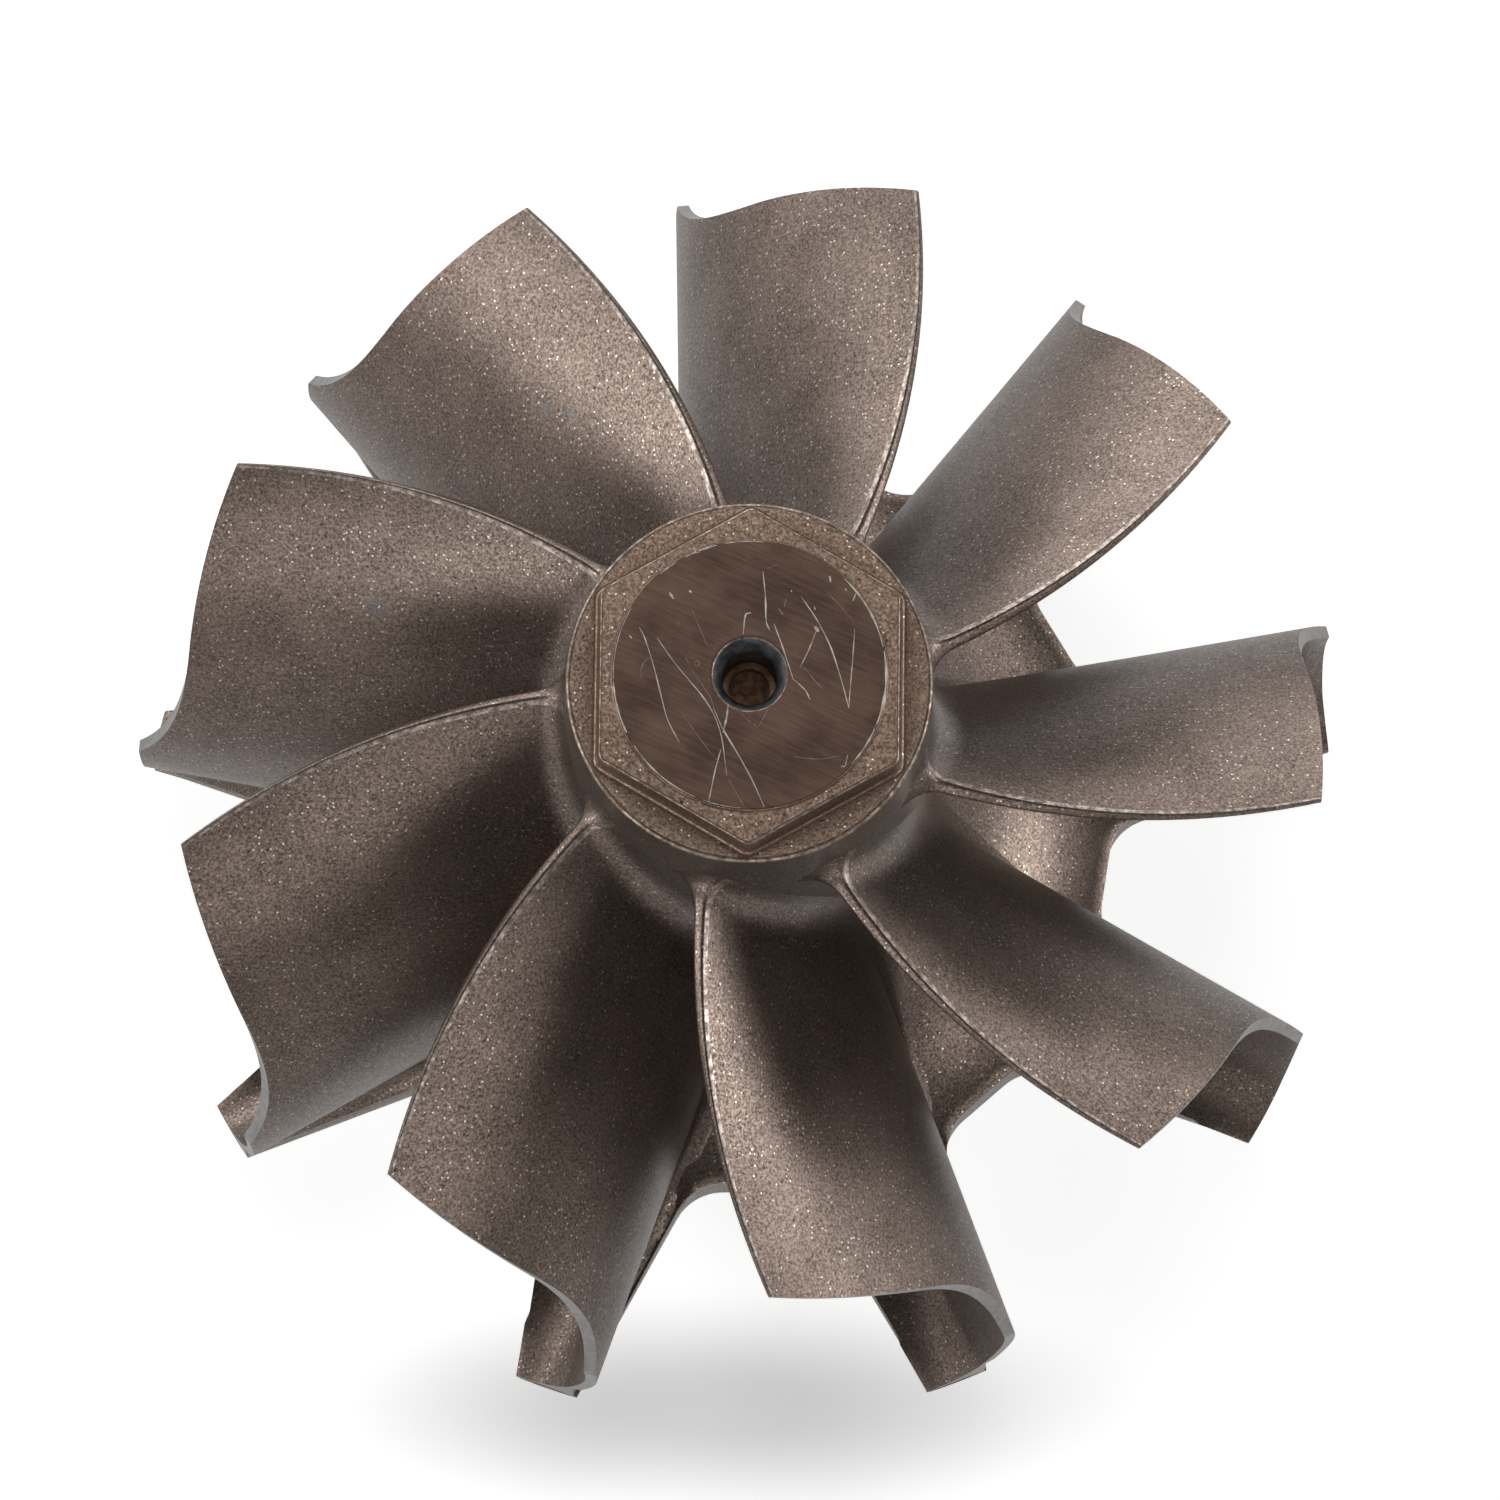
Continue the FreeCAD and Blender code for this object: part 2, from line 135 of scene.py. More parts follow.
# %% [markdown]
# Seen from the side the wheel lies between two curves. The hub curve runs from the nose down a
# sweeping flank to the thin rim of the disc, and the shroud curve is what the lathe leaves of
# the blade tips. Splines could draw both. A lathe cuts lines and arcs, so lines and arcs are
# used, and every point is found by its share of the way along them.

# %% Hub and shroud curves
INLET_RADIUS, OUTLET_RADIUS = 34.0, 31.1
INLET_HEIGHT, OUTLET_HEIGHT, TIP_HEIGHT = 12.37, 22.77, 30.3
RIM_THICKNESS, WEB_HEIGHT, FLANK_RADIUS, SHROUD_RADIUS = 0.3, 3.02, 17.0, 18.6
HUB_RADIUS, NOSE_RADIUS, NOSE_HEIGHT, ROOT_HEIGHT = 10.2, 9.65, 40.85, 35.2
FLANK_TURN = math.radians(75.8)
HUB_HEIGHT = WEB_HEIGHT + FLANK_RADIUS * math.sin(FLANK_TURN)


def lengths(line):
    """How far along a line each of its points lies."""
    return np.concatenate([[0], np.cumsum(np.hypot(*np.diff(line, axis=0).T))])


def points_at(walk, line):
    """Points of a line at the given lengths along it."""
    span = lengths(line)
    return np.stack([np.interp(walk, span, line[:, 0]), np.interp(walk, span, line[:, 1])], axis=-1)


def hub_curve(shares, last_radius=INLET_RADIUS, first_height=ROOT_HEIGHT):
    """Points at shares of the way down the hub, along the flank and out to a radius."""
    turn = np.linspace(0, FLANK_TURN, 60)
    first_radius = HUB_RADIUS + (NOSE_RADIUS - HUB_RADIUS) * (first_height - HUB_HEIGHT) / (
        NOSE_HEIGHT - HUB_HEIGHT)
    flank = np.stack([HUB_RADIUS + FLANK_RADIUS * (1 - np.cos(turn)),
                      HUB_HEIGHT - FLANK_RADIUS * np.sin(turn)], axis=1)
    line = np.concatenate([[[first_radius, first_height]], flank, [[INLET_RADIUS, RIM_THICKNESS]]])
    end = np.interp(last_radius, line[1:, 0], lengths(line)[1:])
    return points_at(np.multiply.outer(shares, end) if np.ndim(end) else shares * end, line)


def shroud_curve(shares):
    """Points at shares of the way from the inlet edge along the turned arc to the outlet tip."""
    chord = np.array([OUTLET_RADIUS - INLET_RADIUS, OUTLET_HEIGHT - INLET_HEIGHT])
    reach = math.sqrt(SHROUD_RADIUS ** 2 - (chord @ chord) / 4)
    middle = np.array([INLET_RADIUS, INLET_HEIGHT]) + chord / 2
    centre = middle + np.array([chord[1], -chord[0]]) / math.hypot(*chord) * reach
    start = math.atan2(INLET_HEIGHT - centre[1], INLET_RADIUS - centre[0]) % (2 * math.pi)
    stop = math.atan2(OUTLET_HEIGHT - centre[1], OUTLET_RADIUS - centre[0]) % (2 * math.pi)
    turn = np.linspace(start, stop, 40)
    arc = centre + SHROUD_RADIUS * np.stack([np.cos(turn), np.sin(turn)], axis=1)
    line = np.concatenate([arc, [[OUTLET_RADIUS, TIP_HEIGHT]]])
    return points_at(shares * lengths(line)[-1], line)


ends = np.array([0, 1])
print("hub curve from and to", hub_curve(ends).round(2).tolist())
print("shroud curve from and to", shroud_curve(ends).round(2).tolist())

# %% [markdown]
# A blade is a stack of straight sections across the axis, each turned a little from the one
# below. That twist bends the gas from the rim round to the outlet. It could be a modifier, but
# the twist modifier turns evenly with height. Here the turn grows with a power of the distance
# from the fold, where the twist turns back, and the sections also lean.

# %% Wrap and lean
FOLD_HEIGHT, FOLD_ANGLE = 10.03, 24
TURN_ABOVE, POWER_ABOVE = 0.0211, 2.338
TURN_BELOW, POWER_BELOW = 0.0681, 1.804
LEAN_HEIGHT, LEAN, LEAN_SLOPE, LEAN_BEND = 20, 11.56, 4.22, 1.58


def wrap(height):
    """Turn of the section at a height, in degrees."""
    above = TURN_ABOVE * np.clip(height - FOLD_HEIGHT, 0, None) ** POWER_ABOVE
    below = TURN_BELOW * np.clip(FOLD_HEIGHT - height, 0, None) ** POWER_BELOW
    return FOLD_ANGLE - above - below


def lean(height):
    """Lean of the section at a height, in radians."""
    step = (height - LEAN_HEIGHT) / 10
    return np.radians(LEAN - LEAN_SLOPE * step - LEAN_BEND * step ** 2)


print("turned by", round(float(wrap(0) - wrap(TIP_HEIGHT)), 1), "degrees from disc to outlet")

# %% [markdown]
# A blade is thin at the tip, to save weight far out, and thick at the root, which carries it.
# Its hollow face follows the laws and its back lies one thickness behind. The blade could be cut
# to its outline with a boolean, which leaves odd faces along the cut. Here the angle of a face
# at a radius comes from where its section crosses that radius, which is a quadratic equation.

# %% Blade laws
SECTION_ROOT = 10
THINNEST = 0.12
TIP_THICKNESS, TIP_THINNING = 0.7, 0.04
ROOT_THICKNESS, ROOT_THINNING = 3.1, 0.175
FOOT_HEIGHT, FOOT_POWER, FOOT_FRONT, FOOT_BACK = 3.6, 1.6, 1.2, 1.75


def face_angle(radius, height, tip_shift, root_shift):
    """Angle of a straight section shifted sideways, at a radius, in degrees."""
    slant = lean(height)
    near = np.stack([np.full_like(height, INLET_RADIUS), tip_shift + 0 * height])
    far = np.stack([SECTION_ROOT * np.cos(slant) - root_shift * np.sin(slant),
                    SECTION_ROOT * np.sin(slant) + root_shift * np.cos(slant)])
    way = far - near
    a = (way ** 2).sum(0)
    b = 2 * (near * way).sum(0)
    c = (near ** 2).sum(0) - radius ** 2
    share = (-b - np.sqrt(np.maximum(b * b - 4 * a * c, 0))) / (2 * a)
    crossing = near + share * way
    return np.degrees(np.arctan2(crossing[1], crossing[0])) + wrap(height)


def thickness(start, loss, height):
    """Blade thickness at one end of a straight section."""
    return np.maximum(THINNEST, start - loss * (height / 10) ** 2)


def blade_faces(radius, height):
    """Angles of the hollow face and the back, in degrees, wider apart at the foot."""
    foot = np.clip(1 - height / FOOT_HEIGHT, 0, 1) ** FOOT_POWER
    front = face_angle(radius, height, FOOT_FRONT * foot, FOOT_FRONT * foot)
    back = face_angle(radius, height,
                      -thickness(TIP_THICKNESS, TIP_THINNING, height) - FOOT_BACK * foot,
                      -thickness(ROOT_THICKNESS, ROOT_THINNING, height) - FOOT_BACK * foot)
    return front, back


sample = blade_faces(np.array([OUTLET_RADIUS]), np.array([OUTLET_HEIGHT]))
print("faces at the shroud at", np.round(sample, 2).tolist(), "degrees")

# %% [markdown]
# Each face of a blade is a grid from the hub to the shroud and from the inlet to the outlet. Its
# lines could be evenly spaced. They are closer together near the hub, for the fillet, and near
# the outlet, for the edge. The outlet edge of the real wheel is bowed, so the lines rise a
# little in the middle of the span.

# %% Blade lines
ROWS, COLUMNS = 40, 84
BOW = 1.32
across = np.concatenate([[-0.008], np.linspace(0, 1, ROWS - 1) ** 1.35])
ease = np.linspace(0, 1, COLUMNS)
along = 1 - (1 - ease) ** 1.25


def meridional(share):
    """Radius and height of every row of the grid at shares of the way to the outlet."""
    hub, shroud = hub_curve(1 - share), shroud_curve(share)
    points = hub + across[:, None, None] * (shroud - hub)
    points[..., 1] += BOW * across[:, None] * (1 - across[:, None]) * share ** 3
    return points


print("each face has", meridional(along).shape[:2], "points")

# %% [markdown]
# The outlet edge is square to the blade's faces and not to the axis, so the back ends a little
# short of the hollow face. Both could end at one height, but that leaves a wider edge with a
# slant. The shortfall follows from the slope of the blade where it ends.

# %% Outlet edge
outlet = meridional(np.array([0.985, 1.0]))
onward = outlet[:, 1] - outlet[:, 0]
run = np.hypot(*onward.T)
onward = onward / run[:, None]
edge_radius = outlet[:, 1, 0]
front, back = blade_faces(outlet[..., 0], outlet[..., 1])
edge_slope = np.arctan(-np.radians(front[:, 1] - front[:, 0]) * edge_radius / run)
edge_width = np.radians(front[:, 1] - back[:, 1]) * edge_radius * np.cos(edge_slope)
steps = np.diff(meridional(np.linspace(0, 1, 60)), axis=1)
shortfall = edge_width * np.sin(edge_slope) / np.hypot(*steps.transpose(2, 0, 1)).sum(1)
print("outlet edge is", edge_width[[0, -1]].round(2).tolist(), "mm wide at the hub and the tip")

# %% [markdown]
# Where a blade meets the hub, both faces flare out in a fillet that keeps a casting from
# cracking. A bevel modifier can't round it, because the blades and the hub are separate meshes.
# So the points are pushed out along the faces' own normals by a quarter circle. Low on the disc
# they stay inside the walls of the spoke that carries the blade.

# %% Blade faces
ROOT_FILLET, SETTLE = 1.5, 0.25
SPOKE_TOP, SPOKE_ANGLE = 4, 18.6
BAY_SLOPE, BAY_WALL, WALL_START, HALF_SPAN = 30, 7.592, 22.8, 20


def spoke_wall(radius):
    """Half angle of a disc spoke where the wall of a bay crosses a radius."""
    slant = np.degrees(np.arcsin(np.clip(BAY_WALL / np.maximum(radius, WALL_START), -1, 1)))
    return HALF_SPAN - (BAY_SLOPE - slant)


reach = np.hypot(*(shroud_curve(along) - hub_curve(1 - along)).T)
lift = np.clip(across[:, None] * reach[None], 0, None) * 0.9
flare = ROOT_FILLET - np.sqrt(ROOT_FILLET ** 2 - np.clip(ROOT_FILLET - lift, 0, None) ** 2)
settle = np.clip(ease[None] / SETTLE, 0, 1) ** 2


def blade_side(back):
    """Angle, radius and height of one face's points: 0 is the hollow face, 1 the back."""
    share = along[None] - shortfall[:, None] * back * ease[None] ** 8
    points = np.stack([meridional(share[row])[row] for row in range(ROWS)])
    angle = blade_faces(points[..., 0], points[..., 1])[back]
    arc = np.radians(angle) * points[..., 0]
    step = np.gradient(points, axis=1)
    length = np.hypot(step[..., 0], step[..., 1])
    tilt = np.arctan(-np.gradient(np.radians(angle), axis=1) * points[..., 0] / length)
    push = -flare if back else flare
    points = points + (push * np.sin(tilt) * settle)[..., None] * step / length[..., None]
    turn = push * (np.cos(tilt) * settle + (1 - settle) / np.cos(tilt))
    angle = np.degrees((arc + turn) / points[..., 0])
    room = np.where(points[..., 1] < SPOKE_TOP, spoke_wall(points[..., 0]), 90)
    angle = SPOKE_ANGLE + np.clip(angle - SPOKE_ANGLE, -room, room)
    return np.concatenate([angle[..., None], points], axis=-1)


hollow, outer = blade_side(0), blade_side(1)
print("fillet reaches", flare.max().round(2), "mm out of each face")

# %% [markdown]
# The outlet edges have worn corners and are nearly flat between them. A half circle would look
# too soft and a bevel too sharp. A superellipse lies between the two: the smaller its exponent,
# the squarer it is.

# %% Edge cap
CAP_POINTS = 12
CAP_DEPTH, CAP_SQUARENESS = 0.6, 0.6


def to_flat(edge):
    """A face's last points, in millimetres sideways and onward."""
    return np.stack([np.radians(edge[:, 0]) * edge_radius,
                     ((edge[:, 1:] - outlet[:, 1]) * onward).sum(1)], axis=1)


def edge_cap():
    """Points that lead round from the hollow face to the back."""
    a, b = to_flat(hollow[:, -1]), to_flat(outer[:, -1])
    middle, half = (a + b) / 2, (a - b) / 2
    forward = np.stack([-half[:, 1], half[:, 0]], axis=1)
    columns = []
    for turn in np.linspace(0, math.pi, CAP_POINTS + 2)[1:-1]:
        sideways = math.copysign(abs(math.cos(turn)) ** CAP_SQUARENESS, math.cos(turn))
        depth = CAP_DEPTH * math.sin(turn) ** CAP_SQUARENESS
        spot = middle + half * sideways + forward * depth
        angle = np.degrees(spot[:, :1] / edge_radius[:, None])
        columns.append(np.concatenate([angle, outlet[:, 1] + spot[:, 1:] * onward], axis=1))
    return np.stack(columns, axis=1)


loop = np.concatenate([hollow, edge_cap(), outer[:, ::-1]], axis=1)
print("a section runs round the blade in", loop.shape[1], "points")

# %% [markdown]
# The nine blades are copies, but each is off its place by its own small casting error, as the
# photograph shows. An array modifier would space them evenly, so they are laid one by one. The
# lathe leaves narrow lands along the inlet and the shroud, and these strips are turned metal.

# %% Blades
BLADES = 9
TIP_ANGLE = 112.3
CASTING_ERRORS = (0.33, 0.24, 0.25, -0.18, -0.24, -0.27, -0.33, 0.02, 0.18)
CAST, LAND, WORN_AND_GLINT = 0, 1, 2


def place(angle, radius, height):
    """Points at angles in degrees that count from the first blade's tip."""
    turn = np.radians(angle + TIP_ANGLE)
    return np.stack([radius * np.cos(turn), radius * np.sin(turn), height], axis=-1)


def make_blades(materials):
    """All blades as one mesh. Finishes: cast, land, worn edge with a painted glint."""
    skin = Skin()
    half = loop.shape[1] // 2
    edge = COLUMNS - 1
    for blade in range(BLADES):
        turn = CASTING_ERRORS[blade] - 360 / BLADES * blade
        numbers = skin.lay(place(loop[..., 0] + turn, loop[..., 1], loop[..., 2]))
        skin.weave(numbers[:, :edge], CAST)
        # Last strip of the hollow face and first of the edge: wear with a painted glint.
        skin.weave(numbers[:, edge - 1:edge + 2], WORN_AND_GLINT)
        skin.weave(numbers[:, edge + 1:], CAST)
        skin.weave(np.stack([numbers[:, -1], numbers[:, 0]], axis=1), LAND)
        skin.weave(np.stack([numbers[-1, :half], numbers[-1, :half - 1:-1]], axis=0), LAND)
    return skin.build("blades", materials)


print(BLADES, "blades, off by up to", max(CASTING_ERRORS), "degrees")

# %% [markdown]
# The disc has bays between the blades, which save weight far from the axis. A bay has a straight
# floor, two straight walls and round corners. Booleans could cut the nine bays. A formula for
# the disc's outer radius at each angle leaves clean rings of faces instead.

# %% Bays of the disc
BAY_FLOOR = 20.9
CORNER_RADIUS, CORNER_ASIDE, CORNER_ROUNDING = 23.9, 1.568, 3
FLOOR_END, CORNER_END = 3.8, 10.55


def disc_edge(angle):
    """Outer radius of the scalloped disc at an angle from a spoke's middle."""
    off = HALF_SPAN - np.abs((angle + HALF_SPAN) % (2 * HALF_SPAN) - HALF_SPAN)
    psi = np.radians(off)
    floor = BAY_FLOOR / np.cos(psi)
    wall = BAY_WALL / np.sin(np.radians(np.maximum(BAY_SLOPE - off, 5)))
    far = math.hypot(CORNER_RADIUS, CORNER_ASIDE)
    bend = psi - math.atan2(CORNER_ASIDE, CORNER_RADIUS)
    inside = np.maximum(CORNER_ROUNDING ** 2 - (far * np.sin(bend)) ** 2, 0)
    corner = far * np.cos(bend) - np.sqrt(inside)
    edge = np.where(off < FLOOR_END, floor, np.where(off < CORNER_END, corner, wall))
    edge = np.where(off < math.degrees(math.atan2(CORNER_ASIDE, BAY_FLOOR)), floor, edge)
    return np.minimum(edge, INLET_RADIUS)


print("disc reaches", disc_edge(np.array([0, 20])).round(2).tolist(), "mm in a spoke and in a bay")

# %% [markdown]
# The disc, the hub, the outside of the nose and the rear boss are one round form, apart from
# the bays. A screw modifier could spin it, but only round. Here every angle gets the same number
# of rings, from the nose down the hub, over the rim and along the rear, and the rings above the
# web spread out to wherever the disc ends at that angle.

# %% Disc and hub mesh
EDGE_BREAK = 0.05
NOSE_RIM = 2
NOSE_ROUNDING = ((9.4, 0), (9.47, 0.01), (9.54, 0.04), (9.6, 0.1), (9.64, 0.18))
HUB_START = 0.26
REAR_RINGS = ((9.6, 0), (9.5, -0.1), (9.5, 0.6 - BOSS_LENGTH), (8.9, -BOSS_LENGTH),
              (4.15, -BOSS_LENGTH), (4.0, 0.15 - BOSS_LENGTH), (4.0, 4 - BOSS_LENGTH),
              (0.02, 4 - BOSS_LENGTH))


def disc_angles():
    """Angles round the disc, closest together where its edge turns."""
    tip, corner = float(spoke_wall(INLET_RADIUS)), HALF_SPAN - CORNER_END
    half = np.concatenate([np.linspace(0, tip, 4), np.linspace(tip, corner, 16)[1:],
                           np.linspace(corner, HALF_SPAN, 24)[1:]])
    sector = np.concatenate([-half[:0:-1], half])[:-1]
    return np.concatenate([sector + 360 / BLADES * blade for blade in range(BLADES)])


def make_disc(materials):
    """Disc, hub and boss as one mesh. Finishes: cast, land, nose rim with wear and a painted glint.
    """
    angle = disc_angles()
    edge = disc_edge(angle)

    def even(radius, height):
        return np.broadcast_to(np.array([radius, height]), (len(angle), 2))

    # The nose's rounded rim takes the worn edge colour, partly a painted glint.
    rings = [even(radius, NOSE_HEIGHT - drop) for radius, drop in NOSE_ROUNDING]
    finish = [NOSE_RIM] * len(rings)
    rings += list(hub_curve(np.linspace(0, 1, 64), edge - EDGE_BREAK, NOSE_HEIGHT - HUB_START))
    rings.append(np.stack([edge, rings[-1][:, 1] - EDGE_BREAK], axis=1))
    finish += [CAST] * (len(rings) - len(finish))
    rings.append(np.stack([edge, np.full_like(edge, EDGE_BREAK)], axis=1))
    rings.append(np.stack([edge - EDGE_BREAK, np.zeros_like(edge)], axis=1))
    rings += [even(radius, height) for radius, height in REAR_RINGS]
    finish += [LAND] * (len(rings) - len(finish))
    grid = np.stack(rings)
    points = place(np.broadcast_to(angle + SPOKE_ANGLE, grid.shape[:2]), grid[..., 0], grid[..., 1])
    skin = Skin()
    skin.weave(skin.lay(points), finish[:-1], closed=True, flip=True)
    return skin.build("disc_and_hub", materials)


print(len(disc_angles()), "angles round the disc")

# %% [markdown]
# The turned face has been handled: thin scratches cross it, and its rim is bright in stretches,
# partly where it has rubbed and partly as a painted highlight along the edge. A scratch on a real
# face is a groove that shows its fresh metal. A groove so fine would need a very dense mesh, and a
# painted line blurs from close by. So each one is a ribbon a few hundredths of a millimetre wide
# that tapers to its ends.

# %% Scratches
FACE, BORE, PILOT, RIM, BRIGHT, FAINT = 1, 2, 3, 4, 5, 6
SCRATCH_HEIGHT = 42.645
SCRATCHES = (
    ([(-5.78, 2.51), (-5.51, 2.04), (-5.04, 0.54), (-4.66, -1.03), (-4.32, -2.44),
      (-3.69, -3.62)], 0.07, BRIGHT),
    ([(-4.85, 1.96), (-3.89, 0.54), (-2.43, -1.19), (-1.82, -2.21), (-1.44, -3.38),
      (-1.21, -5.42)], 0.07, BRIGHT),
    ([(-3.38, 0.94), (-2.82, -0.09), (-2.05, -1.19), (-1.82, -1.97)], 0.05, FAINT),
    ([(-1.89, -1.81), (-1.43, -2.91), (-0.67, -4.17), (0.1, -5.58), (0.74, -7.06)], 0.09, BRIGHT),
    ([(-1.13, -1.58), (-1.2, -2.29), (-1.4, -3.1)], 0.12, BRIGHT),
    ([(0.08, 3.29), (-0.24, 3.26), (-0.34, 2.15)], 0.1, BRIGHT),
    ([(0.7, 5.52), (0.84, 4.17), (0.85, 2.75), (1.06, 2.36)], 0.09, BRIGHT),
    ([(1.27, 2.72), (1.72, 1.49), (2.26, -0.24)], 0.08, BRIGHT),
    ([(2.26, -0.24), (2.95, -0.87), (3.15, -1.37)], 0.07, BRIGHT),
    ([(2.7, 4.17), (3.5, 2.99), (4.26, 1.49), (4.87, -0.56), (5.17, -1.81)], 0.08, BRIGHT),
    ([(3.97, 4.49), (4.73, 3.7), (5.5, 2.75)], 0.05, FAINT),
    ([(5.5, 2.44), (5.38, 0.7), (5.25, -0.71), (5.17, -1.81)], 0.07, BRIGHT),
    ([(3.5, 2.36), (3.11, 1.33), (2.64, 0.39)], 0.07, BRIGHT),
    ([(-3.12, 3.7), (-2.66, 2.59), (-2.2, 1.49)], 0.05, FAINT),
    ([(-5.66, -0.24), (-5.71, 0.23), (-5.51, 0.7), (-5.05, 1.02)], 0.06, FAINT),
    ([(2.8, 0.39), (3.79, -0.79)], 0.05, FAINT),
    ([(-0.82, -1.74), (-0.05, -2.52), (0.44, -2.83)], 0.05, FAINT),
    ([(0.44, -2.83), (1.02, -1.74)], 0.05, FAINT),
    ([(-3.74, -1.81), (-2.97, -2.91), (-2.2, -4.01), (-1.51, -4.79)], 0.04, FAINT),
    ([(-1.51, -4.01), (-1.82, -5.11), (-2.16, -6.83)], 0.08, BRIGHT),
    ([(-1.13, -5.58), (-0.52, -6.67), (-0.29, -7.06)], 0.07, FAINT),
    ([(-2.97, 6.78), (-2.63, 6.54)], 0.11, BRIGHT),
    ([(-2.91, 0.59), (-2.75, 0.75), (-2.6, 0.59), (-2.75, 0.4), (-2.91, 0.54)], 0.05, FAINT),
    ([(2.25, -4.4), (3.63, -4.56), (4.85, -4.32)], 0.04, FAINT),
    ([(5.09, -4.32), (4.97, -4.95), (4.73, -4.89)], 0.07, BRIGHT),
    ([(-4.2, 4.39), (-3.98, 4.04)], 0.14, BRIGHT),
    ([(-3.18, 4.49), (-3.03, 4.39)], 0.12, BRIGHT),
    ([(-3.68, 2.83), (-3.8, 2.56)], 0.07, FAINT),
    ([(-6.29, 2.07), (-6.17, 1.93)], 0.09, BRIGHT),
    ([(4.2, 5.28), (4.25, 4.96)], 0.13, BRIGHT),
    ([(5.02, 4.62), (5.08, 4.46)], 0.11, BRIGHT),
    ([(5.6, 4.39), (5.4, 3.92)], 0.07, BRIGHT),
    ([(1.5, 3.54), (1.77, 3.19)], 0.1, FAINT),
    ([(2.16, 4.52), (2.22, 4.41)], 0.08, BRIGHT),
    ([(3.41, 2.56), (3.6, 2.28)], 0.24, BRIGHT),
    ([(3.38, 3.62), (3.44, 3.45)], 0.08, BRIGHT),
    ([(1.93, 4.14), (1.81, 3.6)], 0.06, FAINT),
    ([(1.5, 5.91), (0.89, 5.67)], 0.04, FAINT),
)
# Stretches of the face's rim, partly rubbed and partly a painted highlight.
RIM_WEAR_AND_HIGHLIGHT_RADIUS = 7.14
RIM_WEAR_AND_HIGHLIGHT = ((-42, -22, 0.1), (-24, 12, 0.16), (10, 46, 0.12), (84, 101, 0.06),
            (104, 118, 0.12), (122, 131, 0.07), (150, 186, 0.05), (182, 206, 0.11),
            (212, 246, 0.08), (250, 266, 0.05))


def scratch(skin, line, width, zone):
    """Lays a tapering ribbon along a line on the turned face."""
    walk = np.linspace(0, len(line) - 1, 6 * len(line) - 5)
    smooth = np.stack([np.interp(walk, np.arange(len(line)), line[:, k]) for k in (0, 1)], axis=1)
    for _ in range(4):
        smooth[1:-1] = (smooth[:-2] + 2 * smooth[1:-1] + smooth[2:]) / 4
    way = np.gradient(smooth, axis=0)
    way /= np.hypot(*way.T)[:, None]
    share = np.linspace(0, 1, len(smooth))
    wander = 0.75 + 0.25 * np.sin(share * 17 + smooth[0, 0] * 9)
    half = width / 2 * np.sqrt(np.sin(np.pi * (0.04 + 0.92 * share))) * wander
    aside = np.stack([-way[:, 1], way[:, 0]], axis=1) * half[:, None]
    sides = np.stack([smooth + aside, smooth - aside], axis=1)
    heights = np.full(sides.shape[:2] + (1,), SCRATCH_HEIGHT)
    skin.weave(skin.lay(np.concatenate([sides, heights], axis=2)), zone, flip=True)


print(len(SCRATCHES), "scratches and nicks,", len(RIM_WEAR_AND_HIGHLIGHT), "rubbed stretches of rim")

# %% [markdown]
# The nose carries a hexagon, by which a socket can hold the wheel. A six-sided cylinder would
# have sharp corners and need bevels. Here it is a ring whose radius follows a hexagon with
# rounded corners, so that it joins the round rings above and below it.

# %% Hexagon
HEX_TURN = 89.3


def hexagon(angle, apothem, rounding):
    """Radius of a hexagon with rounded corners at each angle."""
    off = np.abs((angle - HEX_TURN + 30) % 60 - 30)
    corner = (apothem - rounding) / math.cos(math.radians(30))
    bend = np.radians(off)
    inside = np.maximum(rounding ** 2 - (corner * np.sin(bend)) ** 2, 0)
    arc = corner * np.cos(bend) + np.sqrt(inside)
    flat = apothem / np.cos(np.radians(30 - off))
    limit = (apothem - rounding) * math.tan(math.radians(30))
    return np.where(apothem * np.tan(np.radians(30 - off)) > limit, arc, flat)


sample = hexagon(np.array([HEX_TURN, HEX_TURN + 30]), 8.0, 0.6).round(2).tolist()
print("hexagon reaches", sample, "mm at a corner and at a flat")

# %% [markdown]
# From the middle outward the nose has a drilled pilot, a chamfered hole, the turned face, the
# drafted hexagon and a small fillet at its foot. Each is a ring or two with a size, a height and
# a finish, which a table shows at a glance. Close pairs of rings on both sides of an edge keep
# the flat parts flat, because smooth shading spreads over the whole width of a face.

# %% Rings of the nose
HEX_TOP, FACE_HEIGHT = 42.4, 42.64
# The rim of the hole takes the worn edge colour, partly a painted glint.
HOLE_RINGS = ((0.02, 4.8, PILOT), (1.05, 4.2, PILOT), (1.05, 3.55, PILOT), (1.12, 3.5, PILOT),
              (1.4, 3.5, BORE), (1.45, 3.4, BORE), (1.45, 0.97, BORE), (1.48, 0.92, BORE),
              (1.93, 0.07, RIM), (1.97, 0.02, RIM), (2.03, 0.0, FACE))
FACE_RADII = (2.15, 3.5, 5.0, 6.5, 7.15, 7.18)
STEP_RINGS = ((7.22, FACE_HEIGHT - 0.02), (7.27, FACE_HEIGHT - 0.08), (7.28, HEX_TOP + 0.03),
              (7.31, HEX_TOP), (7.34, HEX_TOP))
TOP_BREAK, FOOT_FILLET = 0.11, 0.25


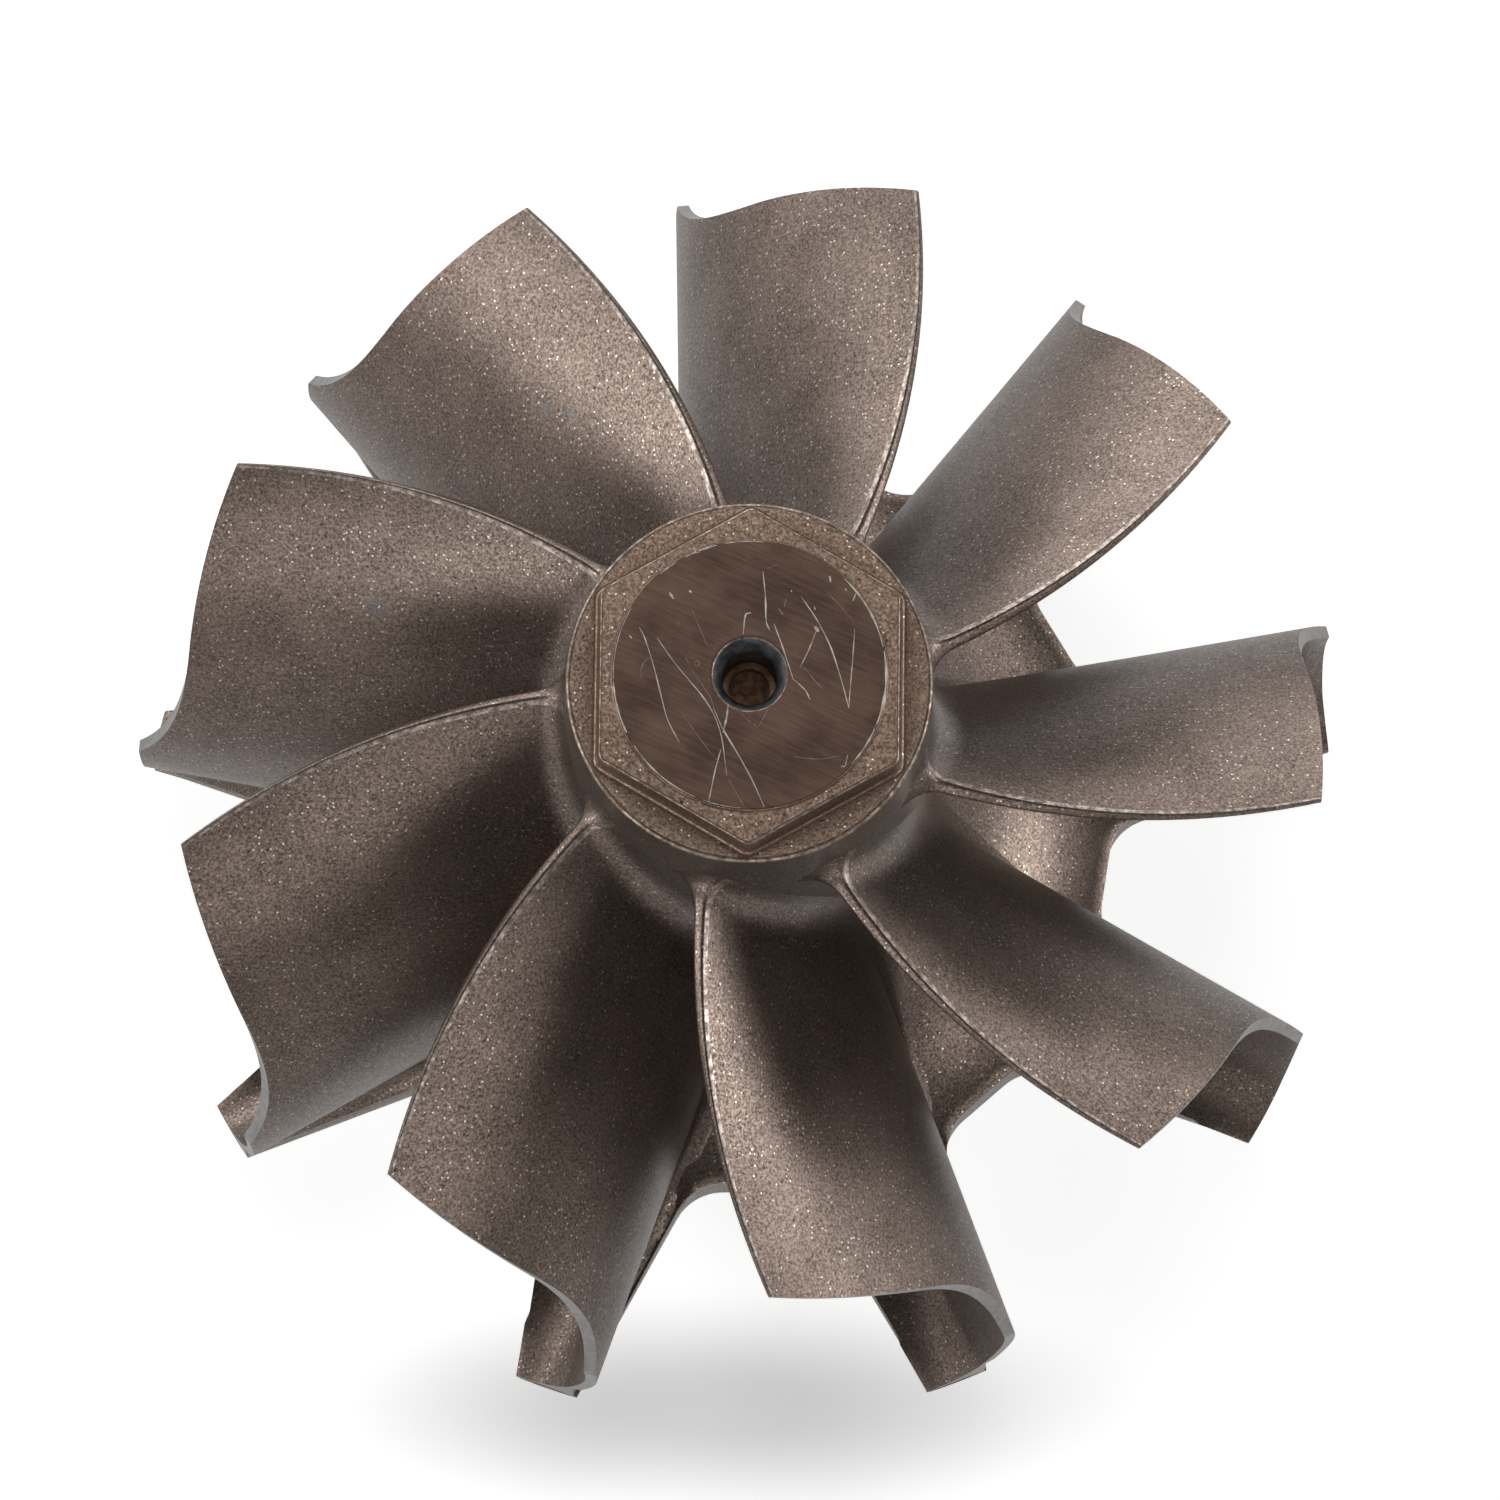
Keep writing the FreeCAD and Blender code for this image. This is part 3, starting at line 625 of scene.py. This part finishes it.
def nose_rings():
    """Size, corner rounding or None for a circle, height and finish of each ring."""
    rings = [(radius, None, FACE_HEIGHT - depth, zone) for radius, depth, zone in HOLE_RINGS]
    rings += [(radius, None, FACE_HEIGHT, FACE) for radius in FACE_RADII]
    rings += [(radius, None, height, CAST) for radius, height in STEP_RINGS]
    rings.append((7.71, 0.5, HEX_TOP, CAST))
    # The top edge of the hexagon takes the worn edge colour, partly a painted glint.
    for share in (0.0, 0.5, 1.0):
        bend = share * math.pi / 2
        rings.append((7.74 + TOP_BREAK * math.sin(bend), 0.5,
                      HEX_TOP - TOP_BREAK * (1 - math.cos(bend)), RIM if share < 1 else CAST))
    for share in (0.25, 0.5, 0.75, 1.0):
        rings.append((7.85 + 0.14 * share, 0.5 + 0.1 * share,
                      HEX_TOP - TOP_BREAK - 1.19 * share, CAST))
    for share in (0.33, 0.67, 1.0):
        bend = share * math.pi / 2
        rings.append((7.99 + FOOT_FILLET * (1 - math.cos(bend)), 0.65,
                      NOSE_HEIGHT + FOOT_FILLET * (1 - math.sin(bend)), CAST))
    rings.append((9.4, None, NOSE_HEIGHT, CAST))
    return rings


print(len(nose_rings()), "rings from the hole to the edge of the nose")

# %% [markdown]
# The rings are joined into one skin, and the scratches are laid on it in the same mesh. They
# could be objects of their own, but they are marks on the nose and not pieces of the wheel.

# %% Nose mesh
def make_nose(materials):
    """Nose as one mesh. Finishes: cast, face, bore, pilot, worn rim with a painted glint, bright
    and faint scratches.
    """
    angle = np.linspace(0, 360, 480, endpoint=False)
    turn = np.radians(angle)
    rows, finish = [], []
    for size, rounding, height, zone in nose_rings():
        radius = hexagon(angle, size, rounding) if rounding else np.full_like(angle, size)
        rows.append(np.stack([radius * np.cos(turn), radius * np.sin(turn),
                              np.full_like(angle, height)], axis=-1))
        finish.append(zone)
    skin = Skin()
    skin.weave(skin.lay(np.stack(rows)), finish[:-1], closed=True, flip=True)
    for line, width, zone in SCRATCHES:
        scratch(skin, np.array(line, dtype=float), width, zone)
    # Bright ribbons round the rim: wear and a painted highlight.
    for start, stop, width in RIM_WEAR_AND_HIGHLIGHT:
        turn = np.radians(np.linspace(start, stop, 24))
        rim = RIM_WEAR_AND_HIGHLIGHT_RADIUS * np.stack([np.cos(turn), np.sin(turn)], axis=1)
        scratch(skin, rim, width, BRIGHT)
    return skin.build("nose", materials, sharp=50)


print("turned face lies", FACE_HEIGHT, "mm above the back of the disc")

# %% [markdown]
# Metal gets its look from a net of nodes, and nets are long to write. They could be drawn in the
# shader editor, but formulas are easier to read and repeat. This class wraps one socket, so that
# adding or multiplying it writes the Math node, and one method makes any other node.

# %% Shader arithmetic
MIX_FACTOR, MIX_FIRST, MIX_SECOND, MIX_RESULT = 0, 6, 7, 2


class Flow:
    """A value in a material's node tree."""

    def __init__(self, tree, socket=None):
        self.tree = tree
        self.socket = socket

    def node(self, kind, settings=None, sockets=None, output=0):
        """Makes a node and returns one of its outputs."""
        made = self.tree.nodes.new(kind)
        for key, value in (settings or {}).items():
            setattr(made, key, value)
        for key, value in (sockets or {}).items():
            if isinstance(value, Flow):
                self.tree.links.new(value.socket, made.inputs[key])
            else:
                made.inputs[key].default_value = value
        return Flow(self.tree, made.outputs[output])

    def output(self, name):
        """Another output of the node that made this value."""
        return Flow(self.tree, self.socket.node.outputs[name])

    def math(self, operation, other=0.0, first=None):
        """This value and another one through a Math node."""
        return self.node("ShaderNodeMath", {"operation": operation},
                         {0: self if first is None else first, 1: other})

    def vector(self, operation, other=(0, 0, 0), output=0):
        """This place and another one through a Vector Math node."""
        return self.node("ShaderNodeVectorMath", {"operation": operation}, {0: self, 1: other},
                         output)

    def noise(self, scale, detail, roughness=0.5):
        """Noise over this place."""
        return self.node("ShaderNodeTexNoise", None, {"Vector": self, "Scale": scale,
                                                      "Detail": detail, "Roughness": roughness})

    def __add__(self, other):
        return self.math("ADD", other)

    def __sub__(self, other):
        return self.math("SUBTRACT", other)

    def __rsub__(self, other):
        return self.math("SUBTRACT", self, first=other)

    def __mul__(self, other):
        return self.math("MULTIPLY", other)

    __radd__ = __add__
    __rmul__ = __mul__

    def between(self, low, high):
        """Zero below low, one above high, smooth between."""
        return self.node("ShaderNodeMapRange", {"interpolation_type": "SMOOTHSTEP"},
                         {"Value": self, "From Min": low, "From Max": high})

    def blend(self, first, second):
        """Colour blend, with this value as the factor."""
        colours = [value if isinstance(value, Flow) else (*value, 1) for value in (first, second)]
        return self.node("ShaderNodeMix", {"data_type": "RGBA"},
                         {MIX_FACTOR: self, MIX_FIRST: colours[0], MIX_SECOND: colours[1]},
                         MIX_RESULT)


def new_material(name):
    """An empty material with its surface shader and the piece's own coordinates in millimetres."""
    material = bpy.data.materials.new(name)
    material.use_nodes = True
    tree = material.node_tree
    shader = tree.nodes["Principled BSDF"]
    where = Flow(tree).node("ShaderNodeTexCoord", output="Object")
    where = where.node("ShaderNodeVectorMath", {"operation": "SCALE"}, {0: where, "Scale": 1 / MM})
    return material, shader, where


def plug(shader, **sockets):
    """Links or sets the named sockets of the surface shader."""
    for key, value in sockets.items():
        socket = shader.inputs[key.replace("_", " ").title()]
        if isinstance(value, Flow):
            value.tree.links.new(value.socket, socket)
        else:
            socket.default_value = value


print("textures are measured in", MM, "m")

# %% [markdown]
# The casting is shot-blasted: a fine grain of pits and bright flecks over a warm brown-grey
# alloy, and the flecks are partly the grain and partly painted glints. A photograph of metal could
# be wrapped round it, but it would stretch over the twisted blades. Noise in millimetres doesn't.
# The grain drives the colour, the roughness and the bump together, so a fleck is also smoother
# and a pit is also deeper. A few bluish heat stains lie on two of the blades.

# %% Cast finish
STAINS = ((-20.2, 7.1, 33.8, 0.9), (-19.3, 6.9, 33.4, 0.7), (-11.0, 18.1, 33.6, 0.6),
          (-9.6, 17.7, 34.8, 0.55), (-8.4, 27.5, 34.0, 0.8))
STAIN_COLOUR, STAIN_COVER = (0.1, 0.105, 0.115), 0.45
PIT_COLOUR, PIT_COVER = (0.03, 0.024, 0.02), 0.75
FLECK_GLINT_COVER = 0.8


def cast_alloy(name, dark, light, fleck_glint, stained=False):
    """Blasted casting, from its dark and light grain to its bright flecks, partly painted glints.
    """
    material, shader, where = new_material(name)
    grain = where.noise(6.6, 3.0, 0.7)
    patch = where.noise(0.3, 4.0)
    cell = where.node("ShaderNodeTexVoronoi", None, {"Vector": where, "Scale": 3.4})
    lucky = cell.output("Color") * 1.0
    # Bright flecks, partly grain and partly painted glints.
    sparkle = (1 - cell.between(0.1, 0.26)) * lucky.between(0.56, 0.62)
    hole = where.node("ShaderNodeTexVoronoi", None, {"Vector": where, "Scale": 1.5})
    pit = (1 - hole.between(0.06, 0.17)) * (hole.output("Color") * 1.0).between(0.52, 0.58)
    tone = grain.between(0.3, 0.7) * 0.8 + patch.between(0.25, 0.75) * 0.2
    colour = tone.blend(dark, light)
    for x, y, z, size in STAINS if stained else ():
        away = where.vector("DISTANCE", (x, y, z), "Value")
        blot = 1 - (away + (patch - 0.5) * 1.2 + grain * 0.3).between(size * 0.4, size * 1.3)
        colour = (blot * STAIN_COVER).blend(colour, STAIN_COLOUR)
    colour = (sparkle * FLECK_GLINT_COVER).blend(colour, fleck_glint)
    colour = (pit * PIT_COVER).blend(colour, PIT_COLOUR)
    height = grain - pit * 0.8 + sparkle * 0.3
    bump = where.node("ShaderNodeBump", None, {"Strength": 0.25, "Distance": 0.00005,
                                               "Height": height})
    plug(shader, base_color=colour, metallic=0.9, normal=bump,
         roughness=0.3 + (1 - grain.between(0.3, 0.7)) * 0.14 - sparkle * 0.1)
    return material


cast = cast_alloy("cast_blades", (0.043, 0.032, 0.0255), (0.222, 0.17, 0.142),
                  (0.6, 0.53, 0.47), True)
# The nose's copy of the alloy is painted lighter than the blades', standing in for light on its
# flat top.
cast_nose_painted_lighter = cast_alloy("cast_nose_painted_lighter", (0.1, 0.066, 0.047), (0.29, 0.202, 0.153),
                       (0.75, 0.66, 0.56))
print("cast alloy in", len(cast.node_tree.nodes), "nodes, with", len(STAINS), "stains")

# %% [markdown]
# Where the edges have rubbed, the grain is polished off. Their bright colour is partly that bare
# metal and partly a painted glint, the light that a sharp edge catches. One bright colour would
# draw a clean outline, which no used part has. So a noise along the edge lets the cast colour
# through between the glints.

# %% Worn edges with painted glints
WEAR_AND_GLINT, WEAR_AND_GLINT_SOFTNESS = 0.54, 0.16


def worn_edge_with_glint(name, under, bright):
    """Metal that is bright where a noise says that it has rubbed, partly a painted glint."""
    material, shader, where = new_material(name)
    along_edge = where.noise(2.4, 5.0, 0.75)
    glint = along_edge.between(WEAR_AND_GLINT - WEAR_AND_GLINT_SOFTNESS, WEAR_AND_GLINT + WEAR_AND_GLINT_SOFTNESS)
    plug(shader, base_color=glint.blend(under, bright), metallic=0.95,
         roughness=0.46 - glint * 0.14)
    return material


# Edge colours, partly bare metal and partly a painted glint.
blade_edge = worn_edge_with_glint("blade_edge_wear_and_glint", (0.13, 0.1, 0.083), (0.46, 0.4, 0.36))
nose_edge = worn_edge_with_glint("nose_edge_wear_and_glint", (0.13, 0.09, 0.066), (0.4, 0.33, 0.27))
print("worn edges:", blade_edge.name, nose_edge.name)

# %% [markdown]
# The lathe leaves the blade tips smooth and grey. The end of the nose is turned too and then
# rubbed in one direction. Anisotropic reflection could show that, but the streaks can also be
# seen, so they are a noise that is stretched along that direction.

# %% Turned finishes
BRUSH_STRETCH = (0.5, 7, 1)


def turned_lands(name, colour):
    """Even grey metal with slight marks."""
    material, shader, where = new_material(name)
    mark = where.noise(2.2, 4.0)
    darker = tuple(channel * 0.75 for channel in colour)
    plug(shader, base_color=mark.between(0.3, 0.7).blend(darker, colour), metallic=0.9,
         roughness=0.34 + mark * 0.14)
    return material


def brushed_face(name, dark, light, slant):
    """Metal with streaks at an angle in degrees."""
    material, shader, where = new_material(name)
    turned = where.node("ShaderNodeVectorRotate", {"rotation_type": "Z_AXIS"},
                        {"Vector": where, "Angle": math.radians(slant)})
    streak = turned.vector("MULTIPLY", BRUSH_STRETCH).noise(1.0, 4.0, 0.7)
    cloud = where.noise(0.35, 3.0)
    tone = streak.between(0.25, 0.8) * 0.6 + cloud.between(0.3, 0.7) * 0.4
    bump = where.node("ShaderNodeBump", None, {"Strength": 0.3, "Distance": 0.00001,
                                               "Height": streak})
    plug(shader, base_color=tone.blend(dark, light), metallic=0.9, normal=bump,
         roughness=0.36 + streak * 0.12)
    return material


def plain_metal(name, dark, light, roughness, scale):
    """Metal between two colours, in clouds of a given scale."""
    material, shader, where = new_material(name)
    mark = where.noise(scale, 4.0)
    plug(shader, base_color=mark.between(0.3, 0.7).blend(dark, light), metallic=0.9,
         roughness=roughness + mark * 0.1)
    return material


lands = turned_lands("turned_lands", (0.28, 0.27, 0.26))
face = brushed_face("turned_face", (0.052, 0.031, 0.022), (0.17, 0.108, 0.08), 25)
bore = plain_metal("bore_wall", (0.1, 0.104, 0.11), (0.22, 0.226, 0.238), 0.38, 1.5)
pilot = plain_metal("pilot", (0.3, 0.17, 0.1), (0.62, 0.41, 0.27), 0.5, 3.0)
bright_scratch = plain_metal("bright_scratch", (0.4, 0.36, 0.32), (0.8, 0.74, 0.68), 0.45, 2.5)
faint_scratch = plain_metal("faint_scratch", (0.16, 0.12, 0.095), (0.36, 0.29, 0.245), 0.45, 2.5)
print(len(bpy.data.materials), "materials so far")

# %% [markdown]
# The wheel is one casting, so its three meshes could be one. They are kept apart because their
# grids differ, and each gets its finishes in the order in which it numbers them.

# %% Make the wheel
wheel = (make_blades([cast, lands, blade_edge]),
         make_disc([cast, lands, nose_edge]),
         make_nose([cast_nose_painted_lighter, face, bore, pilot, nose_edge, bright_scratch, faint_scratch]))
print("the wheel is", [piece.name for piece in wheel])

# %% [markdown]
# The photograph has a white ground with a soft shade before the wheel. A plain white sheet would
# turn grey away from the lamps, so the floor keeps the wheel's shadow but also glows for the
# camera. At full strength that glow would wash out the dark hollows between the blades, so
# mirrored rays see half of it. Far out it rises to white and meets the background. The shade
# is partly a soft oval in the glow, because the shadow that the lamps cast there is fainter.

# %% Floor
FLOOR_HALF = 40.0
FLOOR_GLOW, MIRRORED_SHARE = 0.62, 0.5
GLOW_START, GLOW_END = 200, 1200
SHADE_PLACE, SHADE_SIZE, SHADE_DEPTH = (-1.4, -32.5, 0.0), (1 / 29, 1 / 7.5, 0.0), 0.42


def mirrored_rays(rays):
    """One for rays that have been reflected or bent, from a Light Path node."""
    return rays.output("Is Glossy Ray").math("MAXIMUM", rays.output("Is Transmission Ray"))


def make_floor():
    """A pale sheet that keeps the wheel's shadow and shows white to the camera."""
    mesh = bpy.data.meshes.new("floor")
    corners = [(-1, -1), (1, -1), (1, 1), (-1, 1)]
    mesh.from_pydata([(x * FLOOR_HALF, y * FLOOR_HALF, 0) for x, y in corners], [],
                     [(0, 1, 2, 3)])
    floor = bpy.data.objects.new("floor", mesh)
    bpy.context.collection.objects.link(floor)
    material, shader, where = new_material("pale_floor")
    rays = where.node("ShaderNodeLightPath")
    seen = rays.output("Is Camera Ray").math("MAXIMUM", mirrored_rays(rays) * MIRRORED_SHARE)
    oval = where.vector("SUBTRACT", SHADE_PLACE).vector("MULTIPLY", SHADE_SIZE)
    shade = 1 - oval.vector("LENGTH", output="Value").between(0.1, 1.0)
    distance = where.vector("LENGTH", output="Value")
    rise = (1 - FLOOR_GLOW) * distance.between(GLOW_START, GLOW_END)
    glow = FLOOR_GLOW + rise - shade * SHADE_DEPTH
    plug(shader, base_color=(0.9, 0.9, 0.9, 1), roughness=0.9, emission_strength=1.0,
         emission_color=(seen * glow).blend((0, 0, 0), (1, 1, 1)))
    mesh.materials.append(material)


make_floor()
print("floor is", 2 * FLOOR_HALF, "m wide")

# %% [markdown]
# A studio lights small metal parts with broad soft lamps, and each blade shows by its highlights
# where they stand. A few lamps could be set by eye, but nine twisted blades each need their
# highlight in its place. So sixteen round lamps stand a metre off, most of them low round the
# wheel and one overhead, and their powers were found by matching those highlights.

# %% Softboxes
LAMP_SIZE, AIM_HEIGHT = 0.36, 0.03
SOFTBOXES = (("right", 0, 8, 3.2), ("right_inner", 22, 8, 0.88), ("upper_right", 45, 8, 1.2),
             ("upper_right_inner", 68, 8, 0.88), ("upper", 90, 8, 2.4),
             ("upper_middle", 112, 8, 1.84), ("upper_left", 135, 8, 1.93),
             ("left_inner", 158, 8, 0.78), ("left", 180, 8, 2.5), ("left_high", 191, 24, 1.17),
             ("lower_left", 225, 8, 1.47), ("lower_left_high", 236, 24, 0.69),
             ("lower", 270, 8, 0.57), ("lower_high", 281, 24, 0.94),
             ("lower_right", 326, 24, 1.36), ("overhead", 90, 72, 1.1))


def make_softbox(name, azimuth, elevation, power):
    """A round soft lamp a metre from the wheel, facing it."""
    data = bpy.data.lights.new(name, "AREA")
    data.shape = "DISK"
    data.size = LAMP_SIZE
    data.energy = power
    lamp = bpy.data.objects.new(name, data)
    bpy.context.collection.objects.link(lamp)
    turn, rise = math.radians(azimuth), math.radians(elevation)
    way = Vector((math.cos(rise) * math.cos(turn), math.cos(rise) * math.sin(turn), math.sin(rise)))
    lamp.location = way + Vector((0, 0, AIM_HEIGHT))
    lamp.rotation_euler = way.to_track_quat("Z", "Y").to_euler()


for name, azimuth, elevation, power in SOFTBOXES:
    make_softbox(name, azimuth, elevation, power)
total = sum(lamp.energy for lamp in bpy.data.lights)
print(len(SOFTBOXES), "softboxes,", round(total, 1), "watts in all")

# %% [markdown]
# The photograph's background is plain white. A white world would also light the wheel from
# every side and flatten it, so it is white to the camera and only a weak light to everything
# else. Mirrored rays see a twentieth of the white.

# %% World
WORLD_LIGHT, WORLD_MIRRORED_SHARE = 0.09, 0.05


def make_world():
    """Weak even light on the wheel, and a white background for the camera."""
    world = bpy.data.worlds.new("studio")
    bpy.context.scene.world = world
    world.use_nodes = True
    background = world.node_tree.nodes["Background"]
    background.inputs["Color"].default_value = (1, 1, 1, 1)
    start = Flow(world.node_tree)
    rays = start.node("ShaderNodeLightPath")
    white = rays.output("Is Camera Ray") + mirrored_rays(rays) * WORLD_MIRRORED_SHARE
    strength = white * (1 - WORLD_LIGHT) + WORLD_LIGHT
    start.tree.links.new(strength.socket, background.inputs["Strength"])


make_world()
bpy.context.scene.view_settings.view_transform = "Standard"
print("world light", WORLD_LIGHT)
